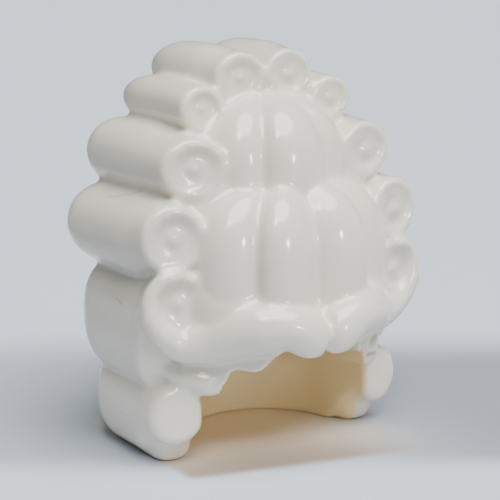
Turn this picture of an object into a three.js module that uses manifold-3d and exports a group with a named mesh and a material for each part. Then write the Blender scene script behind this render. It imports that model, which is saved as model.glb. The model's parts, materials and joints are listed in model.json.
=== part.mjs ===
// A toy figure's powdered wig, moulded in one piece of hard glossy plastic.
// Millimetres, +Z up. The front faces -Y, and the wearer's left is +X.
// It is laid out about the axis of the head cavity, from the plane of the lower rim up,
// for one side and repeated on the other by its sign. Last, it is moved fore and aft so
// that the origin lies under the middle of its outline.
import * as THREE from "three";
import { ParametricGeometry } from "three/addons/geometries/ParametricGeometry.js";
import { mergeVertices } from "three/addons/utils/BufferGeometryUtils.js";
import Module from "manifold-3d";

const wasm = await Module();
wasm.setup();

// Driving dimensions
const WIG_HEIGHT = 24.0; // rim to the crest of the top rolls
const HALF_WIDTH = 9.9; // head axis to the widest side roll
const FRONT_REACH = 7.5; // head axis to the parting over the forehead
const BACK_REACH = 8.85; // head axis to the back ends of the rolls
const CURL_RADIUS = 1.8; // radius of a rolled curl where its end shows
const CURL_DISH = 0.5; // depth of the dish in a curl's end
const DOME_LENGTH = 2.8; // length of the rounded back end of a roll
const LOCK_HEIGHT = 1.55; // half the height of a swept front lock at its widest
const LOCK_DEPTH = 1.25; // half its thickness, out from the head
const HEAD_BORE_RADIUS = 5.1; // cavity for a round head 10.2 mm across
const HEAD_BORE_HEIGHT = 10.2; // rim to the flat seat on top of the head
const PEG_RADIUS = 2.5; // socket for the peg on the head
const PEG_DEPTH = 2.0;
const SIDE_WALL = 2.6; // cavity to the outside of the lower rim, to the side
const NAPE_WALL = 1.9; // cavity to the outside of the lower rim, to the back
const HAIRLINE_HEIGHT = 7.2; // rim to the parting of the hairline
const CHEEK_HEIGHT = 4.4; // rim to the lowest tuft beside the face
const CHEEK_LIFT = 0.8; // how much higher the hair's edge is outside that tuft
const TUFT_SIDE = 1.2; // cavity to the outside of that tuft
const WALL_TURN = 14.3; // degrees behind the head axis where the cavity's wall turns straight
const OPENING_BACK = 0.2; // head axis to the hairline's back
const TAIL_FRONT = 0.8; // head axis to the front edge of the side tails
const TAIL_TOE = 1.4; // height and depth of the bevel under that edge, at the rim
const TAIL_LEAN = 1.1; // how much further forward that edge is at cheek height

const NAPE_HALF_WIDTH = HEAD_BORE_RADIUS + SIDE_WALL;
const NAPE_BACK = HEAD_BORE_RADIUS + NAPE_WALL;

// Mesh fineness
const BODY_SIDES = 40;
const BODY_STEPS = 16;
const ROLL_SIDES = 18;
const BARREL_STEPS = 4;
const DOME_STEPS = 4;
const PUFF_SIDES = 40;
const PUFF_STEPS = 12;
const FOOT_SIDES = 16;
const FOOT_STEPS = 8;
const LOCK_SIDES = 10;
const STEPS_PER_LOCK_ROW = 2;
const BORE_SIDES = 48;

const MARGIN = 1; // how far a cutting shape reaches past what it cuts
const SIDES = [-1, 1];

const degrees = (value) => (value * Math.PI) / 180;
const signedPower = (value, power) => Math.sign(value) * Math.abs(value) ** power;
const mix = (from, to, share) => from + (to - from) * share;
const limit = (share) => Math.min(Math.max(share, 0), 1);
const smooth = (share) => limit(share) ** 2 * (3 - 2 * limit(share));

// Height of a level: -1 is the rim, 0 the parting of the hairline and 1 the crest.
const level = (share) => (share < 0
  ? HAIRLINE_HEIGHT * (1 + share)
  : mix(HAIRLINE_HEIGHT, WIG_HEIGHT, share));

// The value of a table's column at a place between its rows, smoothly joined.
function along(rows, column, share) {
  const place = limit(share) * (rows.length - 1);
  const row = Math.min(Math.floor(place), rows.length - 2);
  const t = place - row;
  const value = (index) => rows[Math.min(Math.max(index, 0), rows.length - 1)][column];
  const [before, from, to, after] = [value(row - 1), value(row), value(row + 1), value(row + 2)];
  const slopeFrom = (to - before) / 2;
  const slopeTo = (after - from) / 2;
  return (
    (2 * t ** 3 - 3 * t ** 2 + 1) * from +
    (t ** 3 - 2 * t ** 2 + t) * slopeFrom +
    (3 * t ** 2 - 2 * t ** 3) * to +
    (t ** 3 - t ** 2) * slopeTo
  );
}

// A closed surface as a solid: shared corners are merged and folded faces dropped.
function toSolid(geometry) {
  const loose = geometry.clone();
  loose.deleteAttribute("normal");
  loose.deleteAttribute("uv");
  const merged = mergeVertices(loose, 1e-4);
  const corners = merged.index.array;
  const kept = [];
  for (let i = 0; i < corners.length; i += 3) {
    const [a, b, c] = [corners[i], corners[i + 1], corners[i + 2]];
    if (a !== b && b !== c && c !== a) kept.push(a, b, c);
  }
  const mesh = new wasm.Mesh({
    numProp: 3,
    vertProperties: Float32Array.from(merged.attributes.position.array),
    triVerts: Uint32Array.from(kept),
  });
  mesh.merge();
  return new wasm.Manifold(mesh);
}

// A closed surface from a function of two shares, u round it and v from one pole to the other.
function surface(place, around, steps) {
  return toSolid(new ParametricGeometry(place, around, steps));
}

const union = (solids) => solids.reduce((whole, solid) => whole.add(solid));

// Body of the hair: the mass that the rolls and puffs lie on, from below the rim up.
// Each row gives a level, and the half width, front and back there as shares of the
// nape's half width, the front reach and the nape's back. square is the squareness of the
// front half, where 1 is round.
const BODY_ROWS = [
  { level: -1.136, width: 0.98, front: 0.86, back: 0.98, square: 0.97 },
  { level: -0.864, width: 1.0, front: 0.88, back: 1.02, square: 0.97 },
  { level: -0.526, width: 0.975, front: 0.89, back: 1.07, square: 0.97 },
  { level: -0.085, width: 0.965, front: 0.9, back: 1.1, square: 0.97 },
  { level: 0.085, width: 0.95, front: 0.82, back: 1.11, square: 0.7 },
  { level: 0.2, width: 0.94, front: 0.68, back: 1.105, square: 0.5 },
  { level: 0.298, width: 0.93, front: 0.55, back: 1.1, square: 0.56 },
  { level: 0.516, width: 0.91, front: 0.42, back: 1.08, square: 0.6 },
  { level: 0.733, width: 0.69, front: 0.22, back: 1.06, square: 0.6 },
  { level: 0.879, width: 0.45, front: -0.04, back: 1.02, square: 0.6 },
  { level: 0.951, width: 0.25, front: -0.2, back: 0.9, square: 0.6 },
];
const BODY_BACK_SQUARENESS = 0.84;
const BODY_CLOSING = 0.06; // share of the steps that each flat end takes

function hairBody() {
  const place = (u, v, target) => {
    const share = (v - BODY_CLOSING) / (1 - 2 * BODY_CLOSING);
    const size = Math.min(Math.min(v, 1 - v) / BODY_CLOSING, 1);
    const angle = u * 2 * Math.PI;
    const ahead = Math.cos(angle) > 0;
    const squareness = ahead ? along(BODY_ROWS, "square", share) : BODY_BACK_SQUARENESS;
    const across = signedPower(Math.sin(angle), squareness);
    const fore = signedPower(-Math.cos(angle), squareness);
    const front = along(BODY_ROWS, "front", share) * FRONT_REACH;
    const back = along(BODY_ROWS, "back", share) * NAPE_BACK;
    target.set(
      size * across * along(BODY_ROWS, "width", share) * NAPE_HALF_WIDTH,
      (back - front) / 2 + (size * fore * (back + front)) / 2,
      level(along(BODY_ROWS, "level", share)),
    );
  };
  return surface(place, BODY_SIDES, BODY_STEPS);
}

// Profile of a curl's end, from the raised centre over the dish to the rounded rim:
// radius as a share of the curl's own, and inset as a share of the dish's depth.
const CURL_END = [
  { radius: 0.0, inset: 0.1 },
  { radius: 0.14, inset: 0.2 },
  { radius: 0.28, inset: 0.9 },
  { radius: 0.54, inset: 0.95 },
  { radius: 0.78, inset: 0.2 },
  { radius: 0.88, inset: 0.0 },
  { radius: 0.97, inset: 0.3 },
  { radius: 1.0, inset: 0.9 },
];
// The lowest roll ends in a plain, slightly domed face instead.
const TAIL_END = [
  { radius: 0.0, inset: 0.0 },
  { radius: 0.3, inset: 0.04 },
  { radius: 0.6, inset: 0.12 },
  { radius: 0.76, inset: 0.2 },
  { radius: 0.85, inset: 0.35 },
  { radius: 0.93, inset: 0.65 },
  { radius: 0.98, inset: 1.0 },
  { radius: 1.0, inset: 1.4 },
];

// Rolled curls, from the crown down. First the end that shows: its centre, size,
// outward turn in degrees and profile. Then the barrel behind it: its own centre and
// size, its squareness (1 is round) and where it ends at the back.
// across is a share of the half width, fore and back are shares of the back reach, up
// is a level, wide and tall are shares of the curl radius and dome of the dome's length.
// spread is how quickly the end's form runs into the barrel's.
const ROLL_ROWS = [
  { across: 0.172, fore: -0.049, up: 0.896, wide: 0.95, tall: 0.84, turn: 2, end: CURL_END,
    barrelAcross: 0.187, barrelUp: 0.896, barrelWide: 1.03, barrelTall: 0.99, square: 1,
    back: 1.0, dome: 1.5, spread: 1.6 },
  { across: 0.456, fore: -0.087, up: 0.803, wide: 0.83, tall: 0.73, turn: -1, end: CURL_END,
    barrelAcross: 0.44, barrelUp: 0.803, barrelWide: 0.9, barrelTall: 0.84, square: 1,
    back: 0.923, dome: 1.4, spread: 1.6 },
  { across: 0.607, fore: -0.262, up: 0.617, wide: 1.12, tall: 0.97, turn: 10, end: CURL_END,
    barrelAcross: 0.61, barrelUp: 0.617, barrelWide: 1.22, barrelTall: 1.16, square: 1,
    back: 0.981, dome: 1.0, spread: 1.6 },
  { across: 0.785, fore: -0.33, up: 0.395, wide: 1.06, tall: 1.1, turn: 10, end: CURL_END,
    barrelAcross: 0.75, barrelUp: 0.375, barrelWide: 1.39, barrelTall: 1.34, square: 1,
    back: 0.938, dome: 1.0, spread: 2.4 },
  { across: 0.775, fore: -0.348, up: 0.177, wide: 1.02, tall: 1.04, turn: 13, end: CURL_END,
    barrelAcross: 0.7, barrelUp: 0.047, barrelWide: 1.35, barrelTall: 1.95, square: 0.82,
    back: 0.855, dome: 1.0, spread: 3.2 },
  { across: 0.732, fore: -0.258, up: -0.554, wide: 0.92, tall: 1.0, turn: 13, end: TAIL_END,
    barrelAcross: 0.66, barrelUp: -0.604, barrelWide: 1.26, barrelTall: 1.62, square: 0.85,
    back: 0.807, dome: 1.0, spread: 2.2 },
];

function roll(row, side) {
  const front = row.fore * BACK_REACH;
  const back = row.back * BACK_REACH;
  const domeStart = back - row.dome * DOME_LENGTH;
  const steps = row.end.length - 1 + BARREL_STEPS + DOME_STEPS;
  const place = (u, v, target) => {
    const ring = Math.round(v * steps);
    const angle = -u * 2 * Math.PI;
    let size = 1;
    let y = front;
    let share = 0;
    if (ring < row.end.length) {
      size = row.end[ring].radius;
      y += row.end[ring].inset * CURL_DISH;
    } else if (ring < row.end.length + BARREL_STEPS) {
      const step = (ring - row.end.length + 1) / BARREL_STEPS;
      y = mix(front + CURL_DISH, domeStart, step);
      share = smooth(step * row.spread);
    } else {
      const turn = ((ring - row.end.length - BARREL_STEPS + 1) / DOME_STEPS) * (Math.PI / 2);
      size = ring === steps ? 0 : Math.cos(turn);
      y = mix(domeStart, back, Math.sin(turn));
      share = 1;
    }
    const squareness = mix(1, row.square, share);
    const wide = mix(row.wide, row.barrelWide, share) * CURL_RADIUS * size;
    const tall = mix(row.tall, row.barrelTall, share) * CURL_RADIUS * size;
    const aside = signedPower(Math.cos(angle), squareness) * wide;
    target.set(
      side * mix(row.across, row.barrelAcross, share) * HALF_WIDTH + aside,
      y + side * aside * Math.tan(degrees(row.turn)) * (1 - share),
      level(mix(row.up, row.barrelUp, share)) + signedPower(Math.sin(angle), squareness) * tall,
    );
  };
  return surface(place, ROLL_SIDES, steps);
}

// Foot under each lowest roll, a squared pad that stands on the rim's plane. across is a
// share of the half width, behind of the back reach, up is a level, and wide, long and
// tall are shares of the curl radius.
const FOOT = { across: 0.677, behind: 0.051, up: -0.847, wide: 0.72, long: 0.83, tall: 0.72 };
const FOOT_SQUARENESS = 0.8;

function foot(side) {
  const place = (u, v, target) => {
    const angle = u * 2 * Math.PI;
    const rise = (v - 0.5) * Math.PI;
    const size = Math.abs(Math.cos(rise)) ** FOOT_SQUARENESS * CURL_RADIUS;
    const across = signedPower(Math.sin(angle), FOOT_SQUARENESS) * size * FOOT.wide;
    const ahead = signedPower(Math.cos(angle), FOOT_SQUARENESS) * size * FOOT.long;
    const upright = signedPower(Math.sin(rise), FOOT_SQUARENESS) * CURL_RADIUS * FOOT.tall;
    target.set(
      side * FOOT.across * HALF_WIDTH + across,
      FOOT.behind * BACK_REACH - ahead,
      level(FOOT.up) + upright,
    );
  };
  return surface(place, FOOT_SIDES, FOOT_STEPS);
}

// Puffs over the forehead: rounded pads parted into upright lobes by valleys.
// halfWidth is a share of the half width, front of the front reach and axis of the back
// reach; top, middle and bottom are levels. first is the angle in degrees from the
// middle to the first valley beside it, and middleValley tells a pad with a valley in
// its middle from one with a lobe there. upright is the squareness of its profile.
const PUFFS = [
  { halfWidth: 0.495, front: 0.573, axis: 0.045, top: 0.84, middle: 0.56, bottom: 0.345,
    first: 27, middleValley: false, upright: 0.8 },
  { halfWidth: 0.687, front: 0.86, axis: -0.17, top: 0.567, middle: 0.256, bottom: -0.028,
    first: 37, middleValley: true, upright: 0.72 },
];
const PUFF_SQUARENESS = 0.86;
const PUFF_FRONT_STEPS = 0.75; // share of the steps that lie on the front, which shows
const VALLEY_CUT = 0.19; // depth of a valley as a share of the pad's size
const VALLEY_SHARPNESS = 0.55;
const VALLEY_RISE = 0.4; // share of that depth by which a valley is lower at its top

function puff(row) {
  const first = degrees(row.first);
  const quarter = Math.PI / 2;
  const axis = row.axis * BACK_REACH;
  const middle = level(row.middle);
  const place = (u, v, target) => {
    const share = 2 * u - 1;
    const past = (Math.abs(share) - PUFF_FRONT_STEPS) / (1 - PUFF_FRONT_STEPS);
    const turn = past < 0 ? (Math.abs(share) / PUFF_FRONT_STEPS) * quarter : quarter * (1 + past);
    const angle = Math.sign(share) * turn;
    const rise = (2 * v - 1) * quarter;
    let phase = limit((turn - first) / (quarter - first));
    if (turn < first) phase = row.middleValley ? turn / first : (1 + turn / first) / 2;
    const crest = turn < quarter ? Math.sin(phase * Math.PI) ** VALLEY_SHARPNESS : 0;
    const fullness = 1 - VALLEY_CUT * (1 - crest);
    const size = Math.abs(Math.cos(rise)) ** row.upright * fullness;
    const height = rise > 0 ? level(row.top) - middle : middle - level(row.bottom);
    const upright = signedPower(Math.sin(rise), row.upright) * height;
    target.set(
      signedPower(Math.sin(angle), PUFF_SQUARENESS) * size * row.halfWidth * HALF_WIDTH,
      axis - signedPower(Math.cos(angle), PUFF_SQUARENESS) * size * (row.front * FRONT_REACH + axis),
      middle + upright * mix(1, fullness, VALLEY_RISE),
    );
  };
  return surface(place, PUFF_SIDES, PUFF_STEPS);
}

// Swept front lock: from the parting out along the forehead, under the fifth curl's
// end and up round it. across is a share of the half width, fore of the front reach, up
// is a level, and tall and deep are shares of the lock's own height and depth.
const LOCK_ROWS = [
  { across: 0.005, fore: 0.84, up: 0.042, tall: 0.56, deep: 0.62 },
  { across: 0.09, fore: 0.84, up: 0.051, tall: 0.88, deep: 0.88 },
  { across: 0.24, fore: 0.79, up: 0.09, tall: 0.84, deep: 1.0 },
  { across: 0.37, fore: 0.71, up: 0.085, tall: 0.98, deep: 1.0 },
  { across: 0.49, fore: 0.58, up: 0.068, tall: 1.0, deep: 0.95 },
  { across: 0.61, fore: 0.43, up: 0.039, tall: 0.88, deep: 0.9 },
  { across: 0.74, fore: 0.34, up: 0.029, tall: 0.66, deep: 0.8 },
  { across: 0.86, fore: 0.33, up: 0.073, tall: 0.5, deep: 0.65 },
  { across: 0.93, fore: 0.33, up: 0.138, tall: 0.38, deep: 0.55 },
  { across: 0.925, fore: 0.33, up: 0.21, tall: 0.3, deep: 0.45 },
  { across: 0.85, fore: 0.36, up: 0.264, tall: 0.28, deep: 0.4 },
  { across: 0.75, fore: 0.4, up: 0.273, tall: 0.26, deep: 0.35 },
];
// Strand under the lock, from the side panel down to the tuft on the cheek.
const STRAND_ROWS = [
  { across: 0.85, fore: 0.0, up: -0.125, tall: 0.2, deep: 0.3 },
  { across: 0.8, fore: 0.067, up: -0.16, tall: 0.3, deep: 0.42 },
  { across: 0.737, fore: 0.147, up: -0.19, tall: 0.36, deep: 0.48 },
  { across: 0.657, fore: 0.267, up: -0.24, tall: 0.42, deep: 0.48 },
  { across: 0.591, fore: 0.367, up: -0.285, tall: 0.46, deep: 0.44 },
  { across: 0.56, fore: 0.405, up: -0.31, tall: 0.36, deep: 0.36 },
];
const LOCK_ROUNDING = 0.06; // share of a lock's length that each rounded end takes
const LOCK_FACING = { across: 0.6, behind: 1.5 }; // axis that locks face away from

function lock(rows, side) {
  const centre = new THREE.CatmullRomCurve3(rows.map((row) => new THREE.Vector3(
    side * row.across * HALF_WIDTH,
    -row.fore * FRONT_REACH,
    level(row.up),
  )));
  const place = (u, v, target) => {
    const share = limit(v);
    const angle = u * 2 * Math.PI;
    const point = centre.getPoint(share);
    const forward = centre.getTangent(share);
    const outward = new THREE.Vector3(point.x * LOCK_FACING.across, point.y - LOCK_FACING.behind, 0);
    outward.normalize();
    outward.addScaledVector(forward, -outward.dot(forward)).normalize();
    const upward = new THREE.Vector3().crossVectors(forward, outward);
    const end = Math.min(Math.min(share, 1 - share) / LOCK_ROUNDING, 1);
    const size = Math.sqrt(Math.max(1 - (1 - end) ** 2, 0));
    const deep = along(rows, "deep", share) * LOCK_DEPTH * size;
    const tall = along(rows, "tall", share) * LOCK_HEIGHT * size;
    target.copy(point);
    target.addScaledVector(outward, Math.cos(angle) * deep);
    target.addScaledVector(upward, Math.sin(angle) * tall);
  };
  return surface(place, LOCK_SIDES, STEPS_PER_LOCK_ROW * rows.length);
}

// Hairline over the face, from the parting to the outside of the lowest tuft: across as
// a share of that distance, and up from the cheek (0) to the parting (1).
const HAIRLINE_ROWS = [
  { across: 0, up: 1 },
  { across: 0.067, up: 0.83 },
  { across: 0.16, up: 0.9 },
  { across: 0.287, up: 0.98 },
  { across: 0.425, up: 1.08 },
  { across: 0.487, up: 0.83 },
  { across: 0.529, up: 0.63 },
  { across: 0.578, up: 0.53 },
  { across: 0.638, up: 0.55 },
  { across: 0.681, up: 0.58 },
  { across: 0.73, up: 0.55 },
  { across: 0.759, up: 0.375 },
  { across: 0.794, up: 0.2 },
  { across: 0.837, up: 0 },
  { across: 1.02, up: 0 },
];

function faceOpening() {
  const side = HEAD_BORE_RADIUS + TUFT_SIDE;
  const corner = (row, sign) => new THREE.Vector2(
    sign * row.across * side,
    mix(CHEEK_HEIGHT, HAIRLINE_HEIGHT, row.up),
  );
  const right = HAIRLINE_ROWS.map((row) => corner(row, 1));
  const left = HAIRLINE_ROWS.slice(1).map((row) => corner(row, -1)).reverse();
  const outline = new THREE.Shape([
    ...left,
    ...right,
    new THREE.Vector2(side, -MARGIN),
    new THREE.Vector2(-side, -MARGIN),
  ]);
  const cutter = new THREE.ExtrudeGeometry(outline, { depth: 2 * FRONT_REACH, bevelEnabled: false });
  return toSolid(cutter.rotateX(Math.PI / 2).translate(0, -OPENING_BACK, 0));
}

// Front of the cheek below the lock, seen from above: across as a share of the half width
// and fore of the front reach.
const CHEEK_ROWS = [
  { across: 0.263, fore: 0.88 },
  { across: 0.323, fore: 0.747 },
  { across: 0.404, fore: 0.62 },
  { across: 0.465, fore: 0.527 },
  { across: 0.539, fore: 0.44 },
  { across: 0.667, fore: 0.307 },
  { across: 0.788, fore: 0.253 },
];

function cheekOpening(side) {
  const reach = 2 * HALF_WIDTH;
  const [first, last] = [CHEEK_ROWS[0], CHEEK_ROWS[CHEEK_ROWS.length - 1]];
  const outline = CHEEK_ROWS.map((row) => new THREE.Vector2(
    side * row.across * HALF_WIDTH,
    -row.fore * FRONT_REACH,
  ));
  outline.push(
    new THREE.Vector2(side * reach, -last.fore * FRONT_REACH),
    new THREE.Vector2(side * reach, -reach),
    new THREE.Vector2(side * first.across * HALF_WIDTH, -reach),
  );
  const space = new THREE.ExtrudeGeometry(
    new THREE.Shape(outline),
    { depth: HAIRLINE_HEIGHT + MARGIN, bevelEnabled: false },
  );
  return toSolid(space.translate(0, 0, -MARGIN));
}

// Space beside and before the face up to a height, seen from above: its sides carry the
// cavity's round wall straight on towards the front.
function faceSpace(height) {
  const turn = degrees(WALL_TURN);
  const back = new THREE.Vector2(Math.cos(turn), Math.sin(turn)).multiplyScalar(HEAD_BORE_RADIUS);
  const front = new THREE.Vector2(Math.sin(turn), -Math.cos(turn)).multiplyScalar(2 * FRONT_REACH);
  front.add(back);
  const outline = new THREE.Shape([
    new THREE.Vector2(-front.x, front.y),
    front,
    back,
    new THREE.Vector2(-back.x, back.y),
  ]);
  const space = new THREE.ExtrudeGeometry(outline, { depth: height + MARGIN, bevelEnabled: false });
  return toSolid(space.translate(0, 0, -MARGIN));
}

// Space in front of a side tail: below the cheek with a leaning edge, and a little
// higher beside the tuft, where the lowest roll's end comes through.
function tailOpenings() {
  const reach = 2 * HALF_WIDTH;
  const outline = new THREE.Shape([
    new THREE.Vector2(-reach, -MARGIN),
    new THREE.Vector2(TAIL_TOE - TAIL_FRONT, -MARGIN),
    new THREE.Vector2(TAIL_TOE - TAIL_FRONT, 0),
    new THREE.Vector2(-TAIL_FRONT, TAIL_TOE),
    new THREE.Vector2(-TAIL_FRONT - TAIL_LEAN, CHEEK_HEIGHT),
    new THREE.Vector2(-reach, CHEEK_HEIGHT),
  ]);
  const lower = new THREE.ExtrudeGeometry(outline, { depth: 2 * reach, bevelEnabled: false });
  lower.rotateX(Math.PI / 2).rotateZ(Math.PI / 2).translate(-reach, 0, 0);
  const height = CHEEK_HEIGHT + CHEEK_LIFT;
  const beside = SIDES.map((side) => new THREE.BoxGeometry(reach, reach, height).translate(
    side * (HEAD_BORE_RADIUS + TUFT_SIDE + reach / 2),
    -TAIL_FRONT - TAIL_LEAN - reach / 2,
    height / 2,
  ));
  return [lower, ...beside].map(toSolid);
}

// Cavity for the head, with the socket for its peg.
function headCavity() {
  const profile = [
    new THREE.Vector2(0, -MARGIN),
    new THREE.Vector2(HEAD_BORE_RADIUS, -MARGIN),
    new THREE.Vector2(HEAD_BORE_RADIUS, HEAD_BORE_HEIGHT),
    new THREE.Vector2(PEG_RADIUS, HEAD_BORE_HEIGHT),
    new THREE.Vector2(PEG_RADIUS, HEAD_BORE_HEIGHT + PEG_DEPTH),
    new THREE.Vector2(0, HEAD_BORE_HEIGHT + PEG_DEPTH),
  ];
  return toSolid(new THREE.LatheGeometry(profile, BORE_SIDES).rotateX(Math.PI / 2));
}

// All below the plane of the lower rim.
function belowRim() {
  const size = 4 * HALF_WIDTH;
  return toSolid(new THREE.BoxGeometry(size, size, size).translate(0, 0, -size / 2));
}

function wig() {
  const openings = [faceOpening(), faceSpace(CHEEK_HEIGHT), ...SIDES.map(cheekOpening), ...tailOpenings()];
  const body = openings.reduce((left, opening) => left.subtract(opening), hairBody());
  const curls = ROLL_ROWS.slice(0, -1).flatMap((row) => SIDES.map((side) => roll(row, side)));
  const lowest = SIDES.map((side) => roll(ROLL_ROWS[ROLL_ROWS.length - 1], side));
  const tails = lowest.map((tail) => tail.subtract(faceSpace(HAIRLINE_HEIGHT)));
  const feet = SIDES.map(foot);
  const locks = [LOCK_ROWS, STRAND_ROWS].flatMap((rows) => SIDES.map((side) => lock(rows, side)));
  const hair = union([body, ...curls, ...tails, ...feet, ...PUFFS.map(puff), ...locks]);
  const piece = hair.subtract(headCavity()).subtract(belowRim());
  const { min, max } = piece.boundingBox();
  return piece.translate([0, -(min[1] + max[1]) / 2, 0]);
}

function toMesh(name, solid, material) {
  const { vertProperties, triVerts } = solid.getMesh();
  const geometry = new THREE.BufferGeometry();
  geometry.setAttribute("position", new THREE.BufferAttribute(vertProperties, 3));
  geometry.setIndex(new THREE.BufferAttribute(triVerts, 1));
  geometry.computeVertexNormals();
  const mesh = new THREE.Mesh(geometry, material);
  mesh.name = name;
  return mesh;
}

const whitePlastic = new THREE.MeshStandardMaterial({ color: 0xe9e6dc, roughness: 0.22, metalness: 0 });

const part = new THREE.Group();
part.add(toMesh("wig", wig(), whitePlastic));
export default part;
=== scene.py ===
"""Powdered wig of a small toy figure: rolled curls, puffs and swept locks in one glossy moulding.

The shapes are worked out in millimetres about the axis of the head cavity, from the plane of the
lower rim up, with the face towards -Y. They are joined, cut out and rounded as one moulding, and
then put into the frame's metres.
"""
import functools
import json
import math

import bmesh
import bpy
import numpy as np
from mathutils import Matrix, Vector

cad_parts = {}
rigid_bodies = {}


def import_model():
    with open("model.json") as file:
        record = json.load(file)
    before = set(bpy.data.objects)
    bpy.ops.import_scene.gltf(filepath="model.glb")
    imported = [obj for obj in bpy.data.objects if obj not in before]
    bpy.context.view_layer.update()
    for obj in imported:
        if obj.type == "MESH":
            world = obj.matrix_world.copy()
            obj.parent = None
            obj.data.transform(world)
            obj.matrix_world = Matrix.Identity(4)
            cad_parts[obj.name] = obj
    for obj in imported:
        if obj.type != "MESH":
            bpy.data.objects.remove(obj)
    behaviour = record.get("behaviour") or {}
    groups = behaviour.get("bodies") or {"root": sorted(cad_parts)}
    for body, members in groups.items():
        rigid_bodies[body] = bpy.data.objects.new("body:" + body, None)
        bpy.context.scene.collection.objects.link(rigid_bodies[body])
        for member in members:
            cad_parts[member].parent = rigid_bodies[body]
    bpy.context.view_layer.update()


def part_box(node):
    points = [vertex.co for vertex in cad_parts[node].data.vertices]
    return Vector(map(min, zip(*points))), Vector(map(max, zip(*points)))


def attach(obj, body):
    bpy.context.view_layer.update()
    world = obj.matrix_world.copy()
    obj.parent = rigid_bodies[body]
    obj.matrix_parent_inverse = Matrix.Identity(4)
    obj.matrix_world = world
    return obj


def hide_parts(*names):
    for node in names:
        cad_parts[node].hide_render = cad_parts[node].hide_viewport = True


bl_info = {
    "name": "Powdered Wig",
    "version": (1, 0, 0),
    "blender": (4, 5, 0),
    "location": "View3D > Sidebar > Wig",
    "description": "Builds a moulded toy wig with curls, puffs and swept locks, its finish and its stage",
    "category": "Object",
}

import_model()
BACK_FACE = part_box("wig")[1].y  # the back ends of the rolls

MM = 0.001
SIDES = (-1, 1)
SHAPE_PREFIX = "shape_"
PIECE_NAME = "moulded_wig"
PIECE_LIMIT = 190000  # triangles in the finished moulding


# Sizes and colours that a user would change


class WigShape(bpy.types.PropertyGroup):
    """Sizes of the moulding, in the frame's metres."""

    height: bpy.props.FloatProperty(
        name="Height", description="Rim to the crest of the top rolls",
        default=24.0 * MM, unit="LENGTH", precision=5)
    half_width: bpy.props.FloatProperty(
        name="Half width", description="Head axis to the widest side roll",
        default=9.9 * MM, unit="LENGTH", precision=5)
    front_reach: bpy.props.FloatProperty(
        name="Front reach", description="Head axis to the parting over the forehead",
        default=7.5 * MM, unit="LENGTH", precision=5)
    back_reach: bpy.props.FloatProperty(
        name="Back reach", description="Head axis to the back ends of the rolls",
        default=8.85 * MM, unit="LENGTH", precision=5)
    curl_radius: bpy.props.FloatProperty(
        name="Curl radius", description="Radius of a rolled curl where its end shows",
        default=1.8 * MM, unit="LENGTH", precision=5)
    curl_dish: bpy.props.FloatProperty(
        name="Curl dish", description="Depth of the dish in a curl's end",
        default=0.5 * MM, unit="LENGTH", precision=5)
    lock_height: bpy.props.FloatProperty(
        name="Lock height", description="Half the height of a swept front lock at its widest",
        default=1.55 * MM, unit="LENGTH", precision=5)
    lock_depth: bpy.props.FloatProperty(
        name="Lock depth", description="Half the thickness of a swept front lock",
        default=1.25 * MM, unit="LENGTH", precision=5)
    bore_radius: bpy.props.FloatProperty(
        name="Cavity radius", description="Radius of the cavity for the head",
        default=5.1 * MM, unit="LENGTH", precision=5)
    bore_height: bpy.props.FloatProperty(
        name="Cavity height", description="Rim to the seat on top of the head",
        default=10.2 * MM, unit="LENGTH", precision=5)
    hairline: bpy.props.FloatProperty(
        name="Hairline", description="Rim to the parting of the hairline",
        default=7.2 * MM, unit="LENGTH", precision=5)
    cheek: bpy.props.FloatProperty(
        name="Cheek", description="Rim to the lowest tuft beside the face",
        default=4.4 * MM, unit="LENGTH", precision=5)
    grain: bpy.props.FloatProperty(
        name="Mesh grain", description="Spacing of the moulding's mesh before it is thinned",
        default=0.11 * MM, unit="LENGTH", precision=6)


class WigFinish(bpy.types.PropertyGroup):
    """Colours and gloss of the plastic, and the colour of the painted glow of light coming through it."""

    plastic: bpy.props.FloatVectorProperty(
        name="Plastic", description="Colour of the outside", subtype="COLOR", size=3,
        min=0, max=1, default=(0.79, 0.76, 0.66))
    # The inside colour is the painted amber glow of light coming through the plastic.
    inside: bpy.props.FloatVectorProperty(
        name="Inside", description="Colour inside the head cavity", subtype="COLOR", size=3,
        min=0, max=1, default=(0.735, 0.59, 0.32))
    roughness: bpy.props.FloatProperty(
        name="Roughness", description="Roughness of the moulded surface", subtype="FACTOR",
        min=0, max=1, default=0.15)
    scatter: bpy.props.FloatProperty(
        name="Scatter", description="How far light spreads inside the plastic",
        default=0.7 * MM, unit="LENGTH", precision=5)


class WigStage(bpy.types.PropertyGroup):
    """Floor and lights."""

    floor: bpy.props.FloatVectorProperty(
        name="Floor", description="Colour of the floor", subtype="COLOR", size=3,
        min=0, max=1, default=(0.64, 0.71, 0.82))
    dome: bpy.props.FloatProperty(
        name="Soft overhead light", description="Strength in watts per square metre", default=5.5)
    top_light: bpy.props.FloatProperty(
        name="Top light", description="Strength of the smaller light above, in watts per square metre",
        default=0.8)
    front_light: bpy.props.FloatProperty(
        name="Front light", description="Power of the small light in front",
        unit="POWER", default=0.42)
    sky: bpy.props.FloatProperty(
        name="Surroundings", description="Strength of the even light from all round", default=0.16)


# Arrays


def power(value, exponent):
    """The value's size raised to the exponent, with its own sign."""
    return np.sign(value) * np.abs(value) ** exponent


def mix(start, end, share):
    return start + (end - start) * share


def smooth(share):
    """An even rise from 0 to 1 with level ends."""
    share = np.clip(share, 0, 1)
    return share * share * (3 - 2 * share)


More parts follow.
